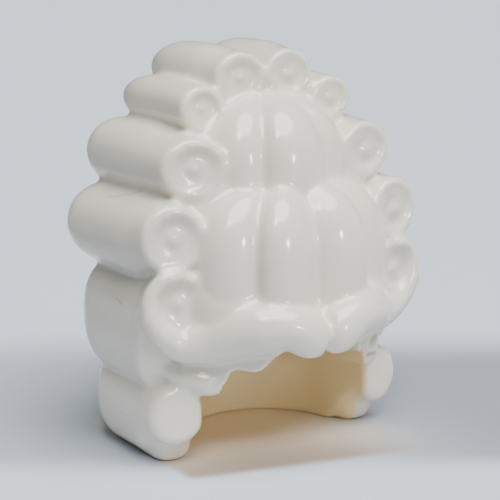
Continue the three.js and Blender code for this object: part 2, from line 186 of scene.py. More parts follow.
def along(rows, share):
    """Smooth cubic through equally spaced table rows, read at each share of its length."""
    rows = np.asarray(rows, float)
    place = np.clip(share, 0, 1) * (len(rows) - 1)
    row = np.minimum(place.astype(int), len(rows) - 2)
    t = (place - row)[..., None]
    before, start = rows[np.maximum(row - 1, 0)], rows[row]
    end, after = rows[row + 1], rows[np.minimum(row + 2, len(rows) - 1)]
    return (
        (2 * t**3 - 3 * t**2 + 1) * start
        + (t**3 - 2 * t**2 + t) * (end - before) / 2
        + (3 * t**2 - 2 * t**3) * end
        + (t**3 - t**2) * (after - start) / 2
    )


def grid(around, steps):
    """Shares round the form (columns, without the closing one) and from pole to pole (rows)."""
    u = np.arange(around) / around
    v = np.linspace(0, 1, steps + 1)
    return np.meshgrid(u, v)


def in_place(x, y, z):
    return np.stack([x, y, z], axis=-1)


def closed_mesh(name, points):
    """A closed mesh from rings of points whose first and last ring are single poles."""
    rings, around = points.shape[:2]
    inner = points[1:-1].reshape(-1, 3)
    vertices = np.concatenate([inner, points[:1, 0], points[-1:, 0]])
    index = np.arange(len(inner)).reshape(rings - 2, around)
    turned = np.roll(index, -1, axis=1)
    quads = np.stack([index[:-1], turned[:-1], turned[1:], index[1:]], axis=-1).reshape(-1, 4)
    first = np.full(around, len(inner))
    low = np.stack([first, turned[0], index[0]], axis=-1)
    high = np.stack([first + 1, index[-1], turned[-1]], axis=-1)
    mesh = bpy.data.meshes.new(name)
    mesh.from_pydata(vertices, [], quads.tolist() + low.tolist() + high.tolist())
    return shape_object(name, mesh)


def prism(name, outline, start, end):
    """A closed mesh: an outline (across, up) carried straight from one place fore and aft to another."""
    outline = np.asarray(outline, float)
    count = len(outline)
    front = np.column_stack([outline[:, 0], np.full(count, start), outline[:, 1]])
    back = np.column_stack([outline[:, 0], np.full(count, end), outline[:, 1]])
    index = np.arange(count)
    turned = np.roll(index, -1)
    walls = np.stack([index, turned, turned + count, index + count], axis=-1).tolist()
    mesh = bpy.data.meshes.new(name)
    mesh.from_pydata(
        np.concatenate([front, back]), [], walls + [index[::-1].tolist(), (index + count).tolist()])
    return shape_object(name, mesh)


def shape_object(name, mesh):
    """The mesh as an object, in millimetres, with its faces turned outwards."""
    shell = bmesh.new()
    shell.from_mesh(mesh)
    bmesh.ops.recalc_face_normals(shell, faces=shell.faces)
    shell.to_mesh(mesh)
    shell.free()
    thing = bpy.data.objects.new(SHAPE_PREFIX + name, mesh)
    bpy.context.scene.collection.objects.link(thing)
    return thing


def shapes(*starts):
    """The shape objects whose names start so, in order of their names."""
    names = tuple(SHAPE_PREFIX + start for start in starts)
    found = [o for o in bpy.data.objects if o.name.startswith(names)]
    return sorted(found, key=lambda o: o.name)


def remove(things):
    for thing in list(things):
        mesh = thing.data
        bpy.data.objects.remove(thing)
        bpy.data.meshes.remove(mesh)


def applied(thing):
    """Bakes the object's modifiers into its mesh."""
    bpy.context.view_layer.update()
    evaluated = thing.evaluated_get(bpy.context.evaluated_depsgraph_get())
    mesh = bpy.data.meshes.new_from_object(evaluated)
    thing.modifiers.clear()
    before, thing.data = thing.data, mesh
    bpy.data.meshes.remove(before)
    if not len(mesh.polygons):
        raise RuntimeError(f"{thing.name} came out empty")
    return thing


def combine(base, others, operation):
    """Joins the other shapes to the base, or cuts them out of it, and removes them."""
    for other in others:
        modifier = base.modifiers.new(operation.lower(), "BOOLEAN")
        modifier.operation = operation
        modifier.solver = "MANIFOLD"
        modifier.object = other
    applied(base)
    remove(others)
    return base


def sizes():
    """The scene's sizes in millimetres, by name."""
    shape = bpy.context.scene.wig_shape
    return {name: getattr(shape, name) / MM for name in WigShape.__annotations__}


def level(size, share):
    """Height of a level: -1 is the rim, 0 the parting of the hairline and 1 the crest."""
    share = np.asarray(share, float)
    below = size["hairline"] * (1 + share)
    above = mix(size["hairline"], size["height"], share)
    return np.where(share < 0, below, above)


# Hair body

SIDE_WALL = 2.6  # cavity to the outside of the lower rim, to the side
NAPE_WALL = 1.9  # cavity to the outside of the lower rim, to the back
# Level, then half width, front and back as shares of the nape's half width, the front
# reach and the nape's back, and the squareness of the front half
BODY_ROWS = (
    (-1.136, 0.98, 0.86, 0.98, 0.97), (-0.864, 1.0, 0.88, 1.02, 0.97),
    (-0.526, 0.975, 0.89, 1.07, 0.97), (-0.085, 0.965, 0.9, 1.1, 0.97),
    (0.085, 0.95, 0.82, 1.11, 0.7), (0.2, 0.94, 0.68, 1.105, 0.5), (0.298, 0.93, 0.55, 1.1, 0.56),
    (0.516, 0.91, 0.42, 1.08, 0.6), (0.733, 0.69, 0.22, 1.06, 0.6), (0.879, 0.45, -0.04, 1.02, 0.6),
    (0.951, 0.25, -0.2, 0.9, 0.6),
)
BODY_BACK_SQUARENESS = 0.84
BODY_CLOSING = 0.06  # share of the steps that each flat end takes
BODY_GRID = (160, 120)  # points round the body, and steps up it


def hair_body(size):
    """Rings of a rounded oval whose middle, width and depth follow the table up the head, drawn
    in to a point at both ends."""
    u, v = grid(*BODY_GRID)
    share = (v - BODY_CLOSING) / (1 - 2 * BODY_CLOSING)
    spread = np.minimum(np.minimum(v, 1 - v) / BODY_CLOSING, 1)
    angle = u * 2 * np.pi
    row = along(BODY_ROWS, share)
    squareness = np.where(np.cos(angle) > 0, row[..., 4], BODY_BACK_SQUARENESS)
    front = row[..., 2] * size["front_reach"]
    back = row[..., 3] * (size["bore_radius"] + NAPE_WALL)
    x = spread * power(np.sin(angle), squareness) * row[..., 1] * (size["bore_radius"] + SIDE_WALL)
    y = (back - front) / 2 - spread * power(np.cos(angle), squareness) * (back + front) / 2
    return closed_mesh("body", in_place(x, y, level(size, row[..., 0])))


# Hairline over the face: across as a share of the distance to the outside of the lowest tuft,
# and up from the cheek (0) to the parting (1)
HAIRLINE_ROWS = (
    (0.0, 1.0), (0.067, 0.83), (0.16, 0.9), (0.287, 0.98), (0.425, 1.08), (0.487, 0.83),
    (0.529, 0.63), (0.578, 0.53), (0.638, 0.55), (0.681, 0.58), (0.73, 0.55), (0.759, 0.375),
    (0.794, 0.2), (0.837, 0.0), (1.02, 0.0),
)
TUFT_SIDE = 1.2  # cavity to the outside of the lowest tuft
CHEEK_LIFT = 0.8  # how much higher the hair's edge is outside that tuft
WALL_TURN = math.radians(14.3)  # behind the head axis, where the cavity's wall turns straight
OPENING_BACK = 0.2  # head axis to the hairline's back
TAIL_FRONT = 0.8  # head axis to the front edge of the side tails
TAIL_TOE = 1.4  # height and depth of the bevel under that edge, at the rim
TAIL_LEAN = 1.1  # how much further forward that edge is at cheek height
MARGIN = 1.0  # how far a cutting shape reaches past what it cuts
# Front of the cheek below the lock, seen from above: across and fore
CHEEK_ROWS = (
    (0.263, 0.88), (0.323, 0.747), (0.404, 0.62), (0.465, 0.527), (0.539, 0.44), (0.667, 0.307),
    (0.788, 0.253),
)


def face_cut(size):
    """The hairline's outline carried forward from the cavity's wall."""
    side = size["bore_radius"] + TUFT_SIDE
    rows = np.array(HAIRLINE_ROWS)
    half = np.column_stack([rows[:, 0] * side, mix(size["cheek"], size["hairline"], rows[:, 1])])
    other = half[:0:-1] * (-1, 1)
    foot = [(side, -MARGIN), (-side, -MARGIN)]
    outline = np.concatenate([other, half, foot])
    return prism("cut_face", outline, -OPENING_BACK, -OPENING_BACK - 2 * size["front_reach"])


def box_shape(name, low, high):
    outline = [(low[0], low[2]), (high[0], low[2]), (high[0], high[2]), (low[0], high[2])]
    return prism(name, outline, low[1], high[1])


def from_above(name, outline, top):
    """An outline seen from above, carried from below the rim up to its top."""
    space = prism(name, outline, -MARGIN, top)
    space.data.transform(Matrix(((1, 0, 0, 0), (0, 0, 1, 0), (0, 1, 0, 0), (0, 0, 0, 1))))
    space.data.flip_normals()
    return space


def face_space(size, name, top):
    """A wedge whose sides carry the cavity's round wall straight on towards the front."""
    back = np.array([math.cos(WALL_TURN), math.sin(WALL_TURN)]) * size["bore_radius"]
    front = back + np.array([math.sin(WALL_TURN), -math.cos(WALL_TURN)]) * 2 * size["front_reach"]
    return from_above(name, [front * (-1, 1), front, back, back * (-1, 1)], top)


def cheek_cuts(size):
    """Space in front of each cheek below the lock."""
    reach = 2 * size["half_width"]
    rows = np.array(CHEEK_ROWS) * (size["half_width"], -size["front_reach"])
    outline = np.concatenate([rows, [(reach, rows[-1, 1]), (reach, -reach), (rows[0, 0], -reach)]])
    return [from_above(f"cut_cheek_{side}", outline * (side, 1), size["hairline"]) for side in SIDES]


def tail_cuts(size):
    """Space in front of each side tail: below the cheek with a leaning edge, and higher beside
    the tuft, where the lowest roll's end comes through."""
    reach = 2 * size["half_width"]
    leaning = [
        (-reach, -MARGIN), (TAIL_TOE - TAIL_FRONT, -MARGIN), (TAIL_TOE - TAIL_FRONT, 0),
        (-TAIL_FRONT, TAIL_TOE), (-TAIL_FRONT - TAIL_LEAN, size["cheek"]), (-reach, size["cheek"]),
    ]
    lower = prism("cut_tail", leaning, -reach, reach)
    lower.data.transform(Matrix.Rotation(math.pi / 2, 4, "Z"))
    side = size["bore_radius"] + TUFT_SIDE
    top = size["cheek"] + CHEEK_LIFT
    beside = [
        box_shape(
            f"cut_beside_{sign}",
            (min(sign * side, sign * reach), -reach, -MARGIN),
            (max(sign * side, sign * reach), -TAIL_FRONT - TAIL_LEAN, top))
        for sign in SIDES
    ]
    return [lower, *beside]


# Rolled curls

# Profile of an end that shows: radius as a share of the roll's, and how far it lies behind the
# frontmost point as a share of the dish. The lowest roll's end is a plain dome.
CURL_END = (
    (0.0, 0.14), (0.11, 0.22), (0.25, 0.56), (0.42, 0.62), (0.6, 0.4), (0.76, 0.2), (0.88, 0.08),
    (0.96, 0.34), (1.0, 0.9),
)
TAIL_END = (
    (0.0, 0.0), (0.3, 0.04), (0.6, 0.12), (0.76, 0.2), (0.85, 0.35), (0.93, 0.65), (0.98, 1.0),
    (1.0, 1.4),
)
DOME_LENGTH = 2.8  # length of the rounded back end of a roll
# The end that shows: across, fore, up, wide, tall and its outward turn in degrees. The barrel
# behind it: across, up, wide, tall, squareness, back, dome and how quickly the end runs into it.
ROLL_ROWS = (
    (0.172, -0.049, 0.896, 0.95, 0.84, 2, 0.187, 0.896, 1.03, 0.99, 1, 1.0, 1.5, 1.6),
    (0.456, -0.087, 0.803, 0.83, 0.73, -1, 0.44, 0.803, 0.9, 0.84, 1, 0.923, 1.4, 1.6),
    (0.607, -0.262, 0.617, 1.12, 0.97, 10, 0.61, 0.617, 1.22, 1.16, 1, 0.981, 1.0, 1.6),
    (0.785, -0.33, 0.395, 1.06, 1.1, 10, 0.75, 0.375, 1.39, 1.34, 1, 0.938, 1.0, 2.4),
    (0.775, -0.348, 0.177, 1.02, 1.04, 13, 0.7, 0.047, 1.35, 1.95, 0.82, 0.855, 1.0, 3.2),
    (0.732, -0.258, -0.554, 0.92, 1.0, 13, 0.66, -0.604, 1.26, 1.62, 0.85, 0.807, 1.0, 2.2),
)
END_STEPS, BARREL_STEPS, DOME_STEPS = 42, 40, 16
ROLL_POINTS = 96  # points round a roll
SPIRAL_DEPTH = 0.07  # relief of the wound strand in a curl's end
SPIRAL_TURNS = 1.7
SPIRAL_START, SPIRAL_END, SPIRAL_FADE = 0.2, 0.95, 0.15  # shares of the radius


def roll(size, number, side):
    """A profile turned about the roll's own axis: the end's dish with a groove that winds out
    from its middle, then a barrel that widens, then a dome."""
    (across, fore, up, wide, tall, turn, barrel_across, barrel_up, barrel_wide, barrel_tall,
     square, back, dome, spread) = ROLL_ROWS[number]
    last = number == len(ROLL_ROWS) - 1
    front, back = fore * size["back_reach"], back * size["back_reach"]
    dome_start = back - dome * DOME_LENGTH
    end = along(TAIL_END if last else CURL_END, np.linspace(0, 1, END_STEPS))
    barrel = np.linspace(0, 1, BARREL_STEPS + 1)[1:]
    rounding = np.linspace(0, np.pi / 2, DOME_STEPS + 1)[1:]
    radius = np.concatenate([end[:, 0], np.ones(BARREL_STEPS), np.cos(rounding)])
    radius[0], radius[-1] = 0, 0
    behind = front + end[-1, 1] * size["curl_dish"]
    y = np.concatenate([
        front + end[:, 1] * size["curl_dish"],
        mix(behind, dome_start, barrel),
        mix(dome_start, back, np.sin(rounding)),
    ])
    share = np.concatenate([np.zeros(END_STEPS), smooth(barrel * spread), np.ones(DOME_STEPS)])
    angle = -np.arange(ROLL_POINTS) / ROLL_POINTS * 2 * np.pi
    radius, y, share = radius[:, None], y[:, None], share[:, None]
    squareness = mix(1, square, share)
    aside = power(np.cos(angle), squareness) * mix(wide, barrel_wide, share) * size["curl_radius"] * radius
    rise = power(np.sin(angle), squareness) * mix(tall, barrel_tall, share) * size["curl_radius"] * radius
    x = side * mix(across, barrel_across, share) * size["half_width"] + aside
    y = y + side * aside * math.tan(math.radians(turn)) * (1 - share)
    if not last:
        # The groove fades out at the raised centre and at the rounded rim.
        on_end = np.arange(len(radius))[:, None] < END_STEPS
        fade = smooth((radius - SPIRAL_START) / SPIRAL_FADE) * smooth((SPIRAL_END - radius) / SPIRAL_FADE)
        winding = np.cos(side * angle - radius * SPIRAL_TURNS * 2 * np.pi)
        y = y + SPIRAL_DEPTH * winding * fade * on_end
    z = level(size, mix(up, barrel_up, share)) + rise
    return closed_mesh(f"roll_{number + 1}_{side}", in_place(x, y, z))


# Foot under each lowest roll: across, behind, up, wide, long and tall
FOOT = (0.677, 0.051, -0.847, 0.72, 0.83, 0.72)
FOOT_SQUARENESS = 0.8
FOOT_GRID = (64, 48)  # points round the foot, and steps up it


def foot(size, side):
    """A squared pad: an oval swept from bottom to top, both ways with squared curves."""
    across, behind, up, wide, long, tall = FOOT
    u, v = grid(*FOOT_GRID)
    angle, rise = u * 2 * np.pi, (v - 0.5) * np.pi
    spread = np.abs(np.cos(rise)) ** FOOT_SQUARENESS * size["curl_radius"]
    spread[0], spread[-1] = 0, 0
    x = side * across * size["half_width"] + power(np.sin(angle), FOOT_SQUARENESS) * spread * wide
    y = behind * size["back_reach"] - power(np.cos(angle), FOOT_SQUARENESS) * spread * long
    z = level(size, up) + power(np.sin(rise), FOOT_SQUARENESS) * size["curl_radius"] * tall
    return closed_mesh(f"foot_{side}", in_place(x, y, z))


# Puffs over the forehead

# Half width, front, axis, top, middle, bottom, first valley's angle, whether a valley rather
# than a lobe lies in the middle, and the squareness of the profile
PUFFS = (
    (0.495, 0.573, 0.045, 0.84, 0.56, 0.345, 27, False, 0.8),
    (0.687, 0.86, -0.17, 0.567, 0.256, -0.028, 37, True, 0.72),
)
PUFF_SQUARENESS = 0.86
PUFF_GRID = (320, 120)  # points round a puff, and steps up it
PUFF_FRONT_STEPS = 0.75  # share of the points that lie on the front, which shows
VALLEY_CUT = 0.2  # depth of a valley as a share of the pad's size
VALLEY_SHARPNESS = 0.55
VALLEY_RISE = 0.4  # share of that depth by which a valley is lower at its top


def puff(size, number):
    """A rounded pad: a squared oval swept from bottom to top, drawn in where upright valleys
    part it into lobes."""
    half_width, front, axis, top, middle, bottom, first, middle_valley, square = PUFFS[number]
    u, v = grid(*PUFF_GRID)
    first, quarter = math.radians(first), math.pi / 2
    axis = axis * size["back_reach"]
    share = 2 * u - 1
    past = (np.abs(share) - PUFF_FRONT_STEPS) / (1 - PUFF_FRONT_STEPS)
    turn = np.where(past < 0, np.abs(share) / PUFF_FRONT_STEPS * quarter, quarter * (1 + past))
    angle = np.sign(share) * turn
    rise = (2 * v - 1) * quarter
    phase = np.clip((turn - first) / (quarter - first), 0, 1)
    near = turn / first if middle_valley else (1 + turn / first) / 2
    phase = np.where(turn < first, near, phase)
    crest = np.where(turn < quarter, np.abs(np.sin(phase * np.pi)) ** VALLEY_SHARPNESS, 0)
    fullness = 1 - VALLEY_CUT * (1 - crest)
    spread = np.abs(np.cos(rise)) ** square * fullness
    spread[0], spread[-1] = 0, 0
    centre = level(size, middle)
    height = np.where(rise > 0, level(size, top) - centre, centre - level(size, bottom))
    upright = power(np.sin(rise), square) * height
    upright = upright * mix(1, fullness, VALLEY_RISE)
    upright[0], upright[-1] = upright[0].mean(), upright[-1].mean()
    x = power(np.sin(angle), PUFF_SQUARENESS) * spread * half_width * size["half_width"]
    depth = front * size["front_reach"] + axis
    y = axis - power(np.cos(angle), PUFF_SQUARENESS) * spread * depth
    return closed_mesh(f"puff_{number + 1}", in_place(x, y, centre + upright))


# Swept locks: across, fore, up, and half height and half thickness as shares of a lock's own

LOCK_ROWS = (
    (0.005, 0.84, 0.042, 0.56, 0.62), (0.09, 0.84, 0.051, 0.88, 0.88), (0.24, 0.79, 0.09, 0.84, 1.0),
    (0.37, 0.71, 0.085, 0.98, 1.0), (0.49, 0.58, 0.068, 1.0, 0.95), (0.61, 0.43, 0.039, 0.88, 0.9),
    (0.74, 0.34, 0.029, 0.66, 0.8), (0.86, 0.33, 0.073, 0.5, 0.65), (0.93, 0.33, 0.138, 0.38, 0.55),
    (0.925, 0.33, 0.21, 0.3, 0.45), (0.85, 0.36, 0.264, 0.28, 0.4), (0.75, 0.4, 0.273, 0.26, 0.35),
)
STRAND_ROWS = (
    (0.85, 0.0, -0.125, 0.2, 0.3), (0.8, 0.067, -0.16, 0.3, 0.42), (0.737, 0.147, -0.19, 0.36, 0.48),
    (0.657, 0.267, -0.24, 0.42, 0.48), (0.591, 0.367, -0.285, 0.46, 0.44), (0.56, 0.405, -0.31, 0.36, 0.36),
)
LOCK_ROUNDING = 0.06  # share of a lock's length that each rounded end takes
LOCK_FACING = (0.6, 1.5)  # a lock faces away from a point so far in, as a share, and so far back
LOCK_STEPS, LOCK_POINTS = 144, 56  # steps along a lock, and points round it


def unit(vectors):
    return vectors / np.linalg.norm(vectors, axis=-1, keepdims=True)


def lock(size, rows, name, side):
    """An oval section carried along a smooth path and rounded off at both ends."""
    v = np.linspace(0, 1, LOCK_STEPS + 1)
    row = along(rows, v)
    point = in_place(
        side * row[:, 0] * size["half_width"],
        -row[:, 1] * size["front_reach"],
        level(size, row[:, 2]))
    forward = unit(np.gradient(point, axis=0))
    outward = in_place(point[:, 0] * LOCK_FACING[0], point[:, 1] - LOCK_FACING[1], np.zeros(len(v)))
    outward = unit(outward - (outward * forward).sum(-1, keepdims=True) * forward)
    upward = np.cross(forward, outward)
    end = np.minimum(np.minimum(v, 1 - v) / LOCK_ROUNDING, 1)
    spread = np.sqrt(np.clip(1 - (1 - end) ** 2, 0, 1))
    angle = np.arange(LOCK_POINTS) / LOCK_POINTS * 2 * np.pi
    deep = (row[:, 4] * size["lock_depth"] * spread)[:, None, None] * np.cos(angle)[:, None]
    tall = (row[:, 3] * size["lock_height"] * spread)[:, None, None] * np.sin(angle)[:, None]
    points = point[:, None] + outward[:, None] * deep + upward[:, None] * tall
    return closed_mesh(f"{name}_{side}", points)


# Operators, one for each group of pieces


class WIG_OT_body(bpy.types.Operator):
    """Hair body under the rolls, with the hairline and the space before the tails cut out"""

    bl_idname = "wig.body"
    bl_label = "Hair Body"

    def execute(self, context):
        size = sizes()
        space = face_space(size, "cut_space", size["cheek"])
        cuts = [face_cut(size), space, *cheek_cuts(size), *tail_cuts(size)]
        combine(hair_body(size), cuts, "DIFFERENCE")
        return {"FINISHED"}


class WIG_OT_curls(bpy.types.Operator):
    """Rolled curls on both sides, the lowest with a flat side beside the face"""

    bl_idname = "wig.curls"
    bl_label = "Rolled Curls"

    def execute(self, context):
        size = sizes()
        for side in SIDES:
            rolls = [roll(size, number, side) for number in range(len(ROLL_ROWS))]
            space = face_space(size, f"cut_between_{side}", size["hairline"])
            combine(rolls[-1], [space], "DIFFERENCE")
            foot(size, side)
        return {"FINISHED"}


class WIG_OT_puffs(bpy.types.Operator):
    """Upper and lower puff over the forehead"""

    bl_idname = "wig.puffs"
    bl_label = "Puffs"

    def execute(self, context):
        size = sizes()
        for number in range(len(PUFFS)):
            puff(size, number)
        return {"FINISHED"}


class WIG_OT_locks(bpy.types.Operator):
    """Swept front locks and the thin strands under them"""

    bl_idname = "wig.locks"
    bl_label = "Swept Locks"

    def execute(self, context):
        size = sizes()
        for side in SIDES:
            lock(size, LOCK_ROWS, "lock", side)
            lock(size, STRAND_ROWS, "strand", side)
        return {"FINISHED"}


PEG_RADIUS = 2.5
PEG_DEPTH = 2.0
BORE_POINTS = 128  # points round the cavity
FILLET = 0.12  # radius of the fillets along the creases
ROUNDING = 0.1  # radius of the rounding along the edges
EVENING = 4  # rounds of smoothing before the surface swells or shrinks
SOFTENING = 3  # rounds of smoothing at the end, which give the moulding its soft edges


def head_cavity(size):
    """A profile turned about the head axis: the bore, its flat seat and the peg's socket."""
    seat = size["bore_height"]
    profile = np.array([
        (0, -MARGIN), (size["bore_radius"], -MARGIN), (size["bore_radius"], seat),
        (PEG_RADIUS, seat), (PEG_RADIUS, seat + PEG_DEPTH), (0, seat + PEG_DEPTH),
    ])
    angle = np.arange(BORE_POINTS) / BORE_POINTS * 2 * np.pi
    radius, z = profile[:, :1], profile[:, 1:]
    points = in_place(radius * np.cos(angle), radius * np.sin(angle), z + 0 * angle)
    return closed_mesh("cut_cavity", points)


class WIG_OT_mould(bpy.types.Operator):
    """Joins the shapes into one moulding, cuts the head cavity and the rim, and softens it"""

    bl_idname = "wig.mould"
    bl_label = "Mould"

    def execute(self, context):
        size = sizes()
        body, *others = shapes("body", "roll", "foot", "puff", "lock", "strand")
        wig = combine(body, others, "UNION")
        reach = 2 * size["half_width"]
        below = box_shape("cut_rim", (-reach, -reach, -reach), (reach, reach, 0))
        combine(wig, [head_cavity(size), below], "DIFFERENCE")
        # Swelling and shrinking again leaves a fillet along every crease, and shrinking and
        # swelling again rounds every edge.
        for step, distance in enumerate((FILLET, -FILLET - ROUNDING, ROUNDING)):
            grain = wig.modifiers.new(f"grain_{step}", "REMESH")
            grain.mode = "VOXEL"
            grain.voxel_size = size["grain"]
            evening = wig.modifiers.new(f"evening_{step}", "SMOOTH")
            evening.iterations = EVENING
            swelling = wig.modifiers.new(f"swelling_{step}", "DISPLACE")
            swelling.strength = distance
            swelling.mid_level = 0  # the whole distance goes outwards
        softening = wig.modifiers.new("softening", "SMOOTH")
        softening.factor = 0.5
        softening.iterations = SOFTENING
        applied(wig)
        triangles = sum(len(p.vertices) - 2 for p in wig.data.polygons)
        if triangles > PIECE_LIMIT:
            thinning = wig.modifiers.new("thinning", "DECIMATE")
            thinning.ratio = PIECE_LIMIT / triangles
            applied(wig)
        move = Matrix.Translation((0, BACK_FACE - context.scene.wig_shape.back_reach, 0))
        wig.data.transform(move @ Matrix.Scale(MM, 4))
        wig.data.shade_smooth()
        wig.name = wig.data.name = PIECE_NAME
        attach(wig, "root")
        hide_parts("wig")
        return {"FINISHED"}


# Materials


class Flow:
    """A value on its way through a material's nodes. Arithmetic on it adds Math nodes."""

    def __init__(self, recipe, socket):
        self.recipe = recipe
        self.socket = socket

    def math(self, operation, *values):
        node = self.recipe.node(
            "ShaderNodeMath", {"operation": operation}, dict(enumerate(values)))
        return Flow(self.recipe, node.outputs[0])

    def __add__(self, other):
        return self.math("ADD", self, other)

    __radd__ = __add__

    def __sub__(self, other):
        return self.math("SUBTRACT", self, other)

    def __rsub__(self, other):
        return self.math("SUBTRACT", other, self)

    def __mul__(self, other):
        return self.math("MULTIPLY", self, other)

    __rmul__ = __mul__

    def __pow__(self, other):
        return self.math("POWER", self, other)

    def __abs__(self):
        return self.math("ABSOLUTE", self)

    def larger(self, other):
        return self.math("MAXIMUM", self, other)

    def smaller(self, other):
        return self.math("MINIMUM", self, other)


class Recipe:
    """A material's nodes, each made by the one method node."""

    def __init__(self, name):
        self.material = bpy.data.materials.new(name)
        self.material.use_nodes = True
        self.tree = self.material.node_tree
        self.shader = self.tree.nodes["Principled BSDF"]

    def node(self, kind, settings=None, inputs=None):
        """A node of that kind with its settings, and a value or a link for each socket named."""
        node = self.tree.nodes.new(kind)
        for name, value in (settings or {}).items():
            setattr(node, name, value)
        self.feed(node, inputs or {})
        return node

    def feed(self, node, inputs):
        for name, value in inputs.items():
            if isinstance(value, Flow):
                self.tree.links.new(value.socket, node.inputs[name])
            else:
                node.inputs[name].default_value = value

    def flow(self, node, output=0):
        return Flow(self, node.outputs[output])

    def rise(self, value, start, end):
        """0 before start and 1 past end, with a smooth rise between them."""
        node = self.node(
            "ShaderNodeMapRange", {"interpolation_type": "SMOOTHSTEP", "clamp": True},
            {"Value": value, "From Min": start, "From Max": end})
        return self.flow(node)

    def until(self, value, edge, start=0):
        """1 before the edge and 0 past it. The edge runs from one place to another, in
        millimetres past its start."""
        return 1 - self.since(value, edge, start)

    def since(self, value, edge, start=0):
        """0 before the edge and 1 past it."""
        return self.rise(value, (start + edge[0]) * MM, (start + edge[1]) * MM)

    def noise(self, place, scale, detail):
        node = self.node(
            "ShaderNodeTexNoise", None, {"Vector": place, "Scale": scale, "Detail": detail})
        return self.flow(node)

    def vector(self, operation, *values, output=0):
        node = self.node("ShaderNodeVectorMath", {"operation": operation}, dict(enumerate(values)))
        return self.flow(node, output)

    def gap(self, place, start, end):
        """Distance from a straight stroke: from its start less the share of the stroke that
        the place has passed."""
        stroke = end - start
        from_start = self.vector("SUBTRACT", place, start)
        passed = self.vector("DOT_PRODUCT", from_start, stroke / stroke.length_squared, output=1)
        nearest = self.node(
            "ShaderNodeVectorMath", {"operation": "SCALE"},
            {0: stroke, "Scale": passed.larger(0).smaller(1)})
        return self.vector("LENGTH", self.vector("SUBTRACT", from_start, self.flow(nearest)), output=1)

    def blend(self, factor, first, second):
        """The first colour where the factor is 0 and the second where it is 1."""
        node = self.node("ShaderNodeMix", {"data_type": "RGBA"}, {0: factor, 6: first, 7: second})
        return self.flow(node, 2)


def colour(values):
    return (*values, 1.0)


# Where the plastic is painted amber, as a painted glow of light coming through it. Each edge is a soft step
# from one place to another, in millimetres: out from the cavity's round wall or its straight wall, up from
# the seat, the cheek or the rim, and behind the head axis.
ROUND_WALL_EDGE = (0.12, 0.3)
SEAT_EDGE = (0.1, 0.2)
STRAIGHT_WALL_EDGE = (0.14, 0.26)
UNDER_CHEEK_EDGE = (0.0, 0.2)
CHEEK_LEAN = 0.435  # how far the cheek's edge comes in for each millimetre up
CHEEK_EDGE = (2.14, 2.26)
CHEEK_BOTTOM = (4.1, 4.3)
CHEEK_TOP = (6.2, 6.5)
FACE_FRONT = (-4.1, -3.5)
NEAR_EDGE = (1.5, 1.9)
HEEL_EDGE = (1.05, 1.3)
HEEL_TOP = (2.4, 2.6)
HEEL_FRONT = (-1.9, -1.5)


def painted_glow_mask(recipe, size, x, depth, z):
    """1 where the glow of light coming through the moulding is painted: inside the cavity, on the walls that
    carry it forward, in front of the cheeks and on the heel of the foot towards +X; 0 elsewhere."""
    bore = size["bore_radius"]
    reach = (x * x + depth * depth) ** 0.5
    cavity = recipe.until(reach, ROUND_WALL_EDGE, bore) * recipe.until(z, SEAT_EDGE, size["bore_height"])
    wall = abs(x) * math.cos(WALL_TURN) + depth * math.sin(WALL_TURN)
    straight = recipe.until(wall, STRAIGHT_WALL_EDGE, bore) * recipe.until(z, UNDER_CHEEK_EDGE, size["cheek"])
    cheek = recipe.until(abs(x) + CHEEK_LEAN * z, CHEEK_EDGE, bore)
    cheek = cheek * recipe.since(z, CHEEK_BOTTOM) * recipe.until(z, CHEEK_TOP)
    face = straight.larger(cheek) * recipe.since(depth, FACE_FRONT)
    heel = recipe.until(x, HEEL_EDGE, bore) * recipe.since(x, (0, bore))
    heel = heel * recipe.until(z, HEEL_TOP) * recipe.since(depth, HEEL_FRONT)
    return cavity.larger(face.larger(heel) * recipe.until(reach, NEAR_EDGE, bore))


# Small marks of wear seen from the side, in the frame's millimetres fore and aft and up: side,
# start, end, half width and how dark
MARKS = (
    (-1, (2.3, 15.5), (1.2, 15.7), 0.09, 0.3),
    (-1, (1.2, 15.7), (0.3, 16.0), 0.1, 0.3),
    (-1, (1.0, 9.8), (0.2, 9.6), 0.12, 0.35),
    (-1, (1.3, 2.7), (1.2, 2.7), 0.12, 0.3),
    (1, (-1.4, 19.9), (-1.5, 19.9), 0.12, 0.3),
    (1, (-4.0, 5.2), (-4.0, 5.1), 0.16, 0.6),
    (1, (-6.3, 8.6), (-5.4, 8.0), 0.16, 0.2),
)
MARK_SIDE = (4.9, 5.1)  # marks lie further out than this
WORN = (0.2, 0.19, 0.17)


def wear_mask(recipe, place, x):
    """How dark the marks of wear are: darkest along the middle of each stroke, and 0 beyond it."""
    from_side = recipe.vector("MULTIPLY", place, (0, 1, 1))
    outside = {side: recipe.since(side * x, MARK_SIDE) for side in SIDES}
    strokes = []
    for side, start, end, half_width, dark in MARKS:
        gap = recipe.gap(from_side, Vector((0, *start)) * MM, Vector((0, *end)) * MM)
        strokes.append(recipe.until(gap, (0, half_width)) * dark * outside[side])
    return functools.reduce(Flow.larger, strokes)


CLOUDS = (180.0, 3.0)  # scale and detail of the moulding's faint clouds
FINE_GRAIN = (2600.0, 2.0)
CLOUD_SHADE = 0.965
CLOUD_ROUGHNESS = 0.06
INSIDE_ROUGHNESS = 0.2


